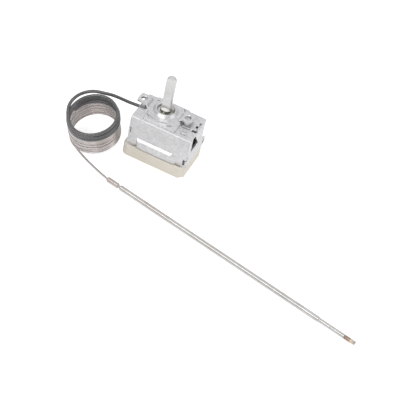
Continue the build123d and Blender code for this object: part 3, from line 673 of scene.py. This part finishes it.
def turnedMaterial(name, light, dark, smooth, rough):
    # Tool lines round the axis over soft blotches
    material, tree, shader, coordinates = newMaterial(name, {"Metallic": 1.0})
    vector = coordinates["Object"]
    lines = useGroup(tree, turnedLines, vector, {})["Value"]
    blotch = noiseNode(tree, vector, **turnedLook["blotch"])
    mixed = addShares(tree, (lines, turnedLook["lineShare"]), (blotch, turnedLook["blotchShare"]))
    share = mapRange(tree, mixed, noiseSpan)
    tree.links.new(mixColor(tree, share, dark, light), shader["Base Color"])
    tree.links.new(mapRange(tree, lines, noiseSpan, smooth, rough), shader["Roughness"])
    addBump(tree, shader, lines, turnedLook)
    return material


ceramicLook = {
    "cloud": {"scale": 90.0, "detail": 4.0, "roughness": 0.6},
    "grain": {"scale": 4200.0, "detail": 2.0, "roughness": 0.55},
    "pores": {"Scale": 1100.0, "Size": 0.22, "Thin Out": 0.86},
    "stains": {"Scale": 170.0, "Size": 0.09, "Thin Out": 0.7},
    "poreShare": 0.35,
    "stainShare": 0.6,
    "poreHeight": 2.0,
    "smooth": 0.6,
    "rough": 0.82,
    "bumpDepth": 0.02,
    "bumpStrength": 0.7,
}


def ceramicMaterial(name, light, dark, speck):
    # Matt and cloudy, with fine grain, sunk pores and a few stains
    material, tree, shader, coordinates = newMaterial(name, {})
    vector = coordinates["Object"]
    cloud = mapRange(tree, noiseNode(tree, vector, **ceramicLook["cloud"]), noiseSpan)
    grain = noiseNode(tree, vector, **ceramicLook["grain"])
    pores = useGroup(tree, specks, vector, ceramicLook["pores"])["Mask"]
    stains = useGroup(tree, specks, vector, ceramicLook["stains"])["Mask"]
    color = mixColor(tree, cloud, dark, light)
    color = mixColor(tree, mathNode(tree, "MULTIPLY", pores, ceramicLook["poreShare"]), color, speck)
    color = mixColor(tree, mathNode(tree, "MULTIPLY", stains, ceramicLook["stainShare"]), color, speck)
    tree.links.new(color, shader["Base Color"])
    rough = mapRange(tree, grain, noiseSpan, ceramicLook["smooth"], ceramicLook["rough"])
    tree.links.new(rough, shader["Roughness"])
    sunk = mathNode(tree, "MULTIPLY", pores, ceramicLook["poreHeight"])
    addBump(tree, shader, mathNode(tree, "SUBTRACT", grain, sunk), ceramicLook)
    return material


drawnLook = {
    "stretch": (0.03, 1, 1),
    "tubeStretch": (0.03, 0.002, 1),
    "lines": {"scale": 2600.0, "detail": 3.0, "roughness": 0.6},
    "blotch": {"scale": 220.0, "detail": 4.0, "roughness": 0.6},
    "lineShare": 0.5,
    "blotchShare": 0.5,
    "lightSpan": (0.34, 0.66),
    "stain": {"scale": 60.0, "detail": 3.0, "roughness": 0.55},
    "stainSpan": (0.42, 0.62),
    "stainShare": 0.6,
    "stainLeft": 0.1,
    "bumpDepth": 0.008,
    "bumpStrength": 0.5,
}


def drawnMaterial(name, light, dark, tint, smooth, rough, heading=None, fade=None):
    # Fine lines along the piece: noise stretched along its heading, or along the UV where it has none.
    # Blotches of heat stain lie over it, which thin out along the fade
    material, tree, shader, coordinates = newMaterial(name, {"Metallic": 1.0})
    vector = coordinates["Object"]
    if heading is None:
        fine = stretchedBy(tree, coordinates["UV"], drawnLook["tubeStretch"])
    else:
        along = alongHeading(tree, vector, heading)
        fine = stretchedBy(tree, along, drawnLook["stretch"])
    lines = noiseNode(tree, fine, **drawnLook["lines"])
    blotch = noiseNode(tree, vector, **drawnLook["blotch"])
    mixed = addShares(tree, (lines, drawnLook["lineShare"]), (blotch, drawnLook["blotchShare"]))
    color = mixColor(tree, mapRange(tree, mixed, drawnLook["lightSpan"]), dark, light)
    stain = mapRange(tree, noiseNode(tree, vector, **drawnLook["stain"]), drawnLook["stainSpan"])
    if fade is not None:
        span = (fade[0] * mm, fade[1] * mm)
        left = mapRange(tree, partsOf(tree, along)["X"], span, 1.0, drawnLook["stainLeft"])
        stain = mathNode(tree, "MULTIPLY", stain, left)
    color = mixColor(tree, mathNode(tree, "MULTIPLY", stain, drawnLook["stainShare"]), color, tint)
    tree.links.new(color, shader["Base Color"])
    tree.links.new(mapRange(tree, lines, noiseSpan, smooth, rough), shader["Roughness"])
    addBump(tree, shader, lines, drawnLook)
    return material


bandedLook = {
    "grain": {"scale": 900.0, "detail": 3.0, "roughness": 0.55},
    "ragged": 0.25,
    "bumpDepth": 0.01,
    "bumpStrength": 0.5,
}


def bandedMaterial(name, heading, start, end, bands, smooth, rough):
    # Heat tint in bands along the piece: the share of the way from its start to its end picks the
    # colour, and the grain, about its middle value of 0.5, makes the bands' edges ragged
    material, tree, shader, coordinates = newMaterial(name, {"Metallic": 1.0})
    vector = coordinates["Object"]
    along = partsOf(tree, alongHeading(tree, vector, heading))["X"]
    grain = noiseNode(tree, vector, **bandedLook["grain"])
    share = mapRange(tree, along, (start * mm, end * mm))
    ragged = mathNode(tree, "MULTIPLY", mathNode(tree, "SUBTRACT", grain, 0.5), bandedLook["ragged"])
    ramp = newNode(tree, "ShaderNodeValToRGB")
    tree.links.new(mathNode(tree, "ADD", share, ragged), ramp.inputs["Fac"])
    stops = ramp.color_ramp.elements
    for index, (place, color) in enumerate(bands):
        stop = stops[index] if index < len(stops) else stops.new(place)
        stop.position = place
        stop.color = (*color, 1)
    tree.links.new(ramp.outputs["Color"], shader["Base Color"])
    tree.links.new(mapRange(tree, grain, noiseSpan, smooth, rough), shader["Roughness"])
    addBump(tree, shader, grain, bandedLook)
    return material


sleeveLook = {
    "light": (0.115, 0.115, 0.122),
    "dark": (0.026, 0.026, 0.03),
    "coat": {"Coat Weight": 1.0, "Coat Roughness": 0.14, "Coat IOR": 1.75},
    "fibres": {"scale": 5200.0, "detail": 3.0, "roughness": 0.7},
    "cloud": {"scale": 260.0, "detail": 3.0, "roughness": 0.55},
    "strandShadeShare": 0.3,
    "fibreShare": 0.5,
    "cloudShare": 0.3,
    "lightSpan": (0.25, 0.85),
    "smooth": 0.26,
    "rough": 0.4,
    "bumpDepth": 0.03,
    "bumpStrength": 0.6,
}


def sleeveMaterial(name):
    # The strands' own pattern from the tube's UV: length in metres and share of a turn. It makes the colour
    # darker between the strands, as painted shade in the braid's grooves, and fibres and cloud add random
    # tone over it
    material, tree, shader, coordinates = newMaterial(name, sleeveLook["coat"])
    vector = coordinates["Object"]
    parts = partsOf(tree, coordinates["UV"])
    around = mathNode(tree, "MULTIPLY", parts["Y"], 2 * math.pi * sleeve["strands"])
    winding = mathNode(tree, "MULTIPLY", parts["X"], 4 * math.pi / (sleeve["strandPitch"] * mm))
    one = mathNode(tree, "COSINE", mathNode(tree, "ADD", around, winding))
    other = mathNode(tree, "COSINE", mathNode(tree, "SUBTRACT", around, winding))
    strands = mathNode(tree, "MAXIMUM", one, other)
    fibres = noiseNode(tree, vector, **sleeveLook["fibres"])
    cloud = noiseNode(tree, vector, **sleeveLook["cloud"])
    # The strands' share darkens the grooves between them: painted shade; fibres and cloud are random tone
    mixed = addShares(
        tree,
        (strands, sleeveLook["strandShadeShare"]),
        (fibres, sleeveLook["fibreShare"]),
        (cloud, sleeveLook["cloudShare"]),
    )
    share = mapRange(tree, mixed, sleeveLook["lightSpan"])
    tree.links.new(mixColor(tree, share, sleeveLook["dark"], sleeveLook["light"]), shader["Base Color"])
    rough = mapRange(tree, fibres, noiseSpan, sleeveLook["smooth"], sleeveLook["rough"])
    tree.links.new(rough, shader["Roughness"])
    addBump(tree, shader, fibres, sleeveLook)
    return material


boardLook = {
    "stretch": (0.15, 1, 1),
    "fibre": {"scale": 3000.0, "detail": 4.0, "roughness": 0.65},
    "lightSpan": (0.35, 0.65),
    "bumpDepth": 0.02,
    "bumpStrength": 0.6,
}


def boardMaterial(name, light, dark, smooth, rough):
    # Pressed board with its fibres along X
    material, tree, shader, coordinates = newMaterial(name, {})
    stretched = stretchedBy(tree, coordinates["Object"], boardLook["stretch"])
    fibre = noiseNode(tree, stretched, **boardLook["fibre"])
    color = mixColor(tree, mapRange(tree, fibre, boardLook["lightSpan"]), dark, light)
    tree.links.new(color, shader["Base Color"])
    tree.links.new(mapRange(tree, fibre, noiseSpan, smooth, rough), shader["Roughness"])
    addBump(tree, shader, fibre, boardLook)
    return material


# The bulb lies along its heading, in degrees about Z. Its stain and its tip's bands are placed along it
bulb = {
    "heading": -11.1,
    "stainFade": (5.0, 85.0),
    "tipStart": 159.0,
    "tipEnd": 165.2,
    "tipBands": (
        (0.0, (0.36, 0.27, 0.22)),
        (0.35, (0.42, 0.31, 0.25)),
        (0.5, (0.78, 0.66, 0.54)),
        (0.68, (0.74, 0.60, 0.47)),
        (0.8, (0.46, 0.45, 0.45)),
        (0.9, (0.5, 0.5, 0.5)),
    ),
}
finishLooks = {
    "zincSheet": {
        "make": sheetMaterial,
        "light": (0.775, 0.775, 0.785),
        "dark": (0.62, 0.62, 0.635),
        "metallic": 0.88,
        "smooth": 0.27,
        "rough": 0.42,
    },
    "bladeBrass": {
        "make": sheetMaterial,
        "light": (0.8, 0.66, 0.4),
        "dark": (0.66, 0.52, 0.29),
        "metallic": 1.0,
        "smooth": 0.25,
        "rough": 0.4,
    },
    "turnedSteel": {
        "make": turnedMaterial,
        "light": (0.76, 0.765, 0.755),
        "dark": (0.67, 0.67, 0.66),
        "smooth": 0.24,
        "rough": 0.36,
    },
    "yellowedSteel": {
        "make": turnedMaterial,
        "light": (0.62, 0.61, 0.565),
        "dark": (0.44, 0.43, 0.385),
        "smooth": 0.22,
        "rough": 0.38,
    },
    "silverContact": {
        "make": turnedMaterial,
        "light": (0.86, 0.85, 0.82),
        "dark": (0.7, 0.69, 0.66),
        "smooth": 0.3,
        "rough": 0.45,
    },
    "springSteel": {
        "make": turnedMaterial,
        "light": (0.6, 0.6, 0.61),
        "dark": (0.45, 0.45, 0.46),
        "smooth": 0.2,
        "rough": 0.4,
    },
    "capsuleSteel": {
        "make": turnedMaterial,
        "light": (0.62, 0.6, 0.57),
        "dark": (0.48, 0.46, 0.44),
        "smooth": 0.25,
        "rough": 0.42,
    },
    "creamCeramic": {
        "make": ceramicMaterial,
        "light": (0.91, 0.855, 0.765),
        "dark": (0.84, 0.78, 0.68),
        "speck": (0.2, 0.15, 0.1),
    },
    "boardBrown": {
        "make": boardMaterial,
        "light": (0.13, 0.09, 0.06),
        "dark": (0.07, 0.045, 0.03),
        "smooth": 0.5,
        "rough": 0.7,
    },
    "coilTube": {
        "make": drawnMaterial,
        "light": (0.70, 0.67, 0.665),
        "dark": (0.56, 0.525, 0.515),
        "tint": (0.60, 0.53, 0.505),
        "smooth": 0.2,
        "rough": 0.3,
    },
    "bulbSteel": {
        "make": drawnMaterial,
        "light": (0.70, 0.69, 0.68),
        "dark": (0.50, 0.49, 0.475),
        "tint": (0.54, 0.46, 0.43),
        "smooth": 0.1,
        "rough": 0.2,
        "heading": bulb["heading"],
        "fade": bulb["stainFade"],
    },
    "brazedSteel": {
        "make": drawnMaterial,
        "light": (0.68, 0.615, 0.59),
        "dark": (0.45, 0.395, 0.375),
        "tint": (0.52, 0.42, 0.385),
        "smooth": 0.14,
        "rough": 0.28,
        "heading": bulb["heading"],
    },
    "copperTint": {
        "make": bandedMaterial,
        "heading": bulb["heading"],
        "start": bulb["tipStart"],
        "end": bulb["tipEnd"],
        "bands": bulb["tipBands"],
        "smooth": 0.24,
        "rough": 0.42,
    },
    "braidedSleeve": {"make": sleeveMaterial},
}
worn = {
    "housing_frame": "zincSheet",
    "end_plate_right": "zincSheet",
    "end_plate_left": "zincSheet",
    "mounting_bridge": "zincSheet",
    "plate_screw": "turnedSteel",
    "threaded_bush": "turnedSteel",
    "spring_washer": "turnedSteel",
    "ceramic_base": "creamCeramic",
    "switch_cover": "boardBrown",
    "cover_rivets": "bladeBrass",
    "terminal_load": "bladeBrass",
    "terminal_fixed": "bladeBrass",
    "fixed_contact": "silverContact",
    "return_spring": "springSteel",
    "d_shaft": "turnedSteel",
    "slotted_collar": "yellowedSteel",
    "adjusting_spindle": "turnedSteel",
    "diaphragm_capsule": "capsuleSteel",
    "thrust_button": "capsuleSteel",
    "capillary_stub": "coilTube",
    "push_pin": "creamCeramic",
    "contact_lever": "bladeBrass",
    "moving_contact": "silverContact",
    "bulb_ferrule": "brazedSteel",
    "sensor_bulb": "bulbSteel",
    "bulb_tip": "copperTint",
}


def makeFinish(name, make, **look):
    # The kind of material that the look asks for, with the rest of the look as its values
    return make(name, **look)


finishes = {name: makeFinish(name, **look) for name, look in finishLooks.items()}
for nodeName, finishName in worn.items():
    nodes[nodeName].data.materials.clear()
    nodes[nodeName].data.materials.append(finishes[finishName])
braidedSleeve.data.materials.append(finishes["braidedSleeve"])
capillaryTube.data.materials.append(finishes["coilTube"])
print("materials set")


# Pressed, cast and turned pieces with their edges rounded, each over its own CAD node
dressed = {
    "foldedHousing": {"node": "housing_frame", "body": "housing", "slot": "zinc_sheet", "edge": 0.09},
    "rightPlate": {"node": "end_plate_right", "body": "housing", "slot": "zinc_sheet", "edge": 0.09},
    "leftPlate": {"node": "end_plate_left", "body": "housing", "slot": "zinc_sheet", "edge": 0.09},
    "bridgePlate": {"node": "mounting_bridge", "body": "housing", "slot": "zinc_sheet", "edge": 0.08},
    "slottedScrew": {"node": "plate_screw", "body": "housing", "slot": "bright_steel", "edge": 0.06},
    "ceramicBody": {"node": "ceramic_base", "body": "housing", "slot": "ceramic", "edge": 0.12},
    "roundShaft": {"node": "d_shaft", "body": "shaft", "slot": "bright_steel", "edge": 0.06},
    "shaftCollar": {"node": "slotted_collar", "body": "shaft", "slot": "bright_steel", "edge": 0.08},
}
rounding = {"weld": 0.001, "flatDegrees": 0.3, "sharpDegrees": 30, "segments": 2}


def dressNode(name, values):
    # The node's shape with its flat faces joined, and each sharp edge rounded
    work = bmesh.new()
    work.from_mesh(nodes[values["node"]].data)
    bmesh.ops.remove_doubles(work, verts=work.verts, dist=rounding["weld"] * mm)
    flat = math.radians(rounding["flatDegrees"])
    bmesh.ops.dissolve_limit(work, angle_limit=flat, verts=work.verts, edges=work.edges)
    mesh = bpy.data.meshes.new(name)
    work.to_mesh(mesh)
    work.free()
    for layer in ("custom_normal", "sharp_face", "sharp_edge"):
        if layer in mesh.attributes:
            mesh.attributes.remove(mesh.attributes[layer])
    mesh.polygons.foreach_set("use_smooth", [True] * len(mesh.polygons))
    sharp = math.radians(rounding["sharpDegrees"])
    mesh.set_sharp_from_angle(angle=sharp)
    mesh.materials.clear()
    mesh.materials.append(finishes[worn[values["node"]]])
    piece = bpy.data.objects.new(name, mesh)
    scene.collection.objects.link(piece)
    bevel = piece.modifiers.new("edges", "BEVEL")
    bevel.width = values["edge"] * mm
    bevel.segments = rounding["segments"]
    bevel.limit_method = "ANGLE"
    bevel.angle_limit = sharp
    bevel.use_clamp_overlap = True
    bevel.harden_normals = True
    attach(piece, values["body"])
    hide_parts(values["node"])


for pieceName, pieceValues in dressed.items():
    dressNode(pieceName, pieceValues)
print("edges rounded:", len(dressed))


# Return spring under the lever, wound as a wire helix
spring = {
    "radius": 1.6,
    "wire": 0.35,
    "turns": 3.25,
    "floor": 2.4,
    "foot": 2.6,
    "height": 2.975,
    "pointsPerTurn": 40,
    "spacing": 0.25,
    "sides": 12,
    "keep": 0.87,
}


def springLine():
    # A helix: a circle round the Z axis whose height grows evenly with the angle
    angle = np.linspace(0, 2 * np.pi * spring["turns"], int(spring["pointsPerTurn"] * spring["turns"]))
    height = spring["foot"] + spring["height"] * angle / angle[-1]
    return np.column_stack((spring["radius"] * np.cos(angle), spring["radius"] * np.sin(angle), height)) * mm


wireLine, wireAlong = evenLine(springLine(), spring["spacing"] * mm)
wireSpring = tubeAlong("wireSpring", wireLine, wireAlong, spring["wire"] / 2 * mm, spring["sides"])
wireSpring.data.materials.append(finishes[worn["return_spring"]])
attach(wireSpring, "housing")
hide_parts("return_spring")
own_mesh(wireSpring)
print("spring wound")

print("finishing")
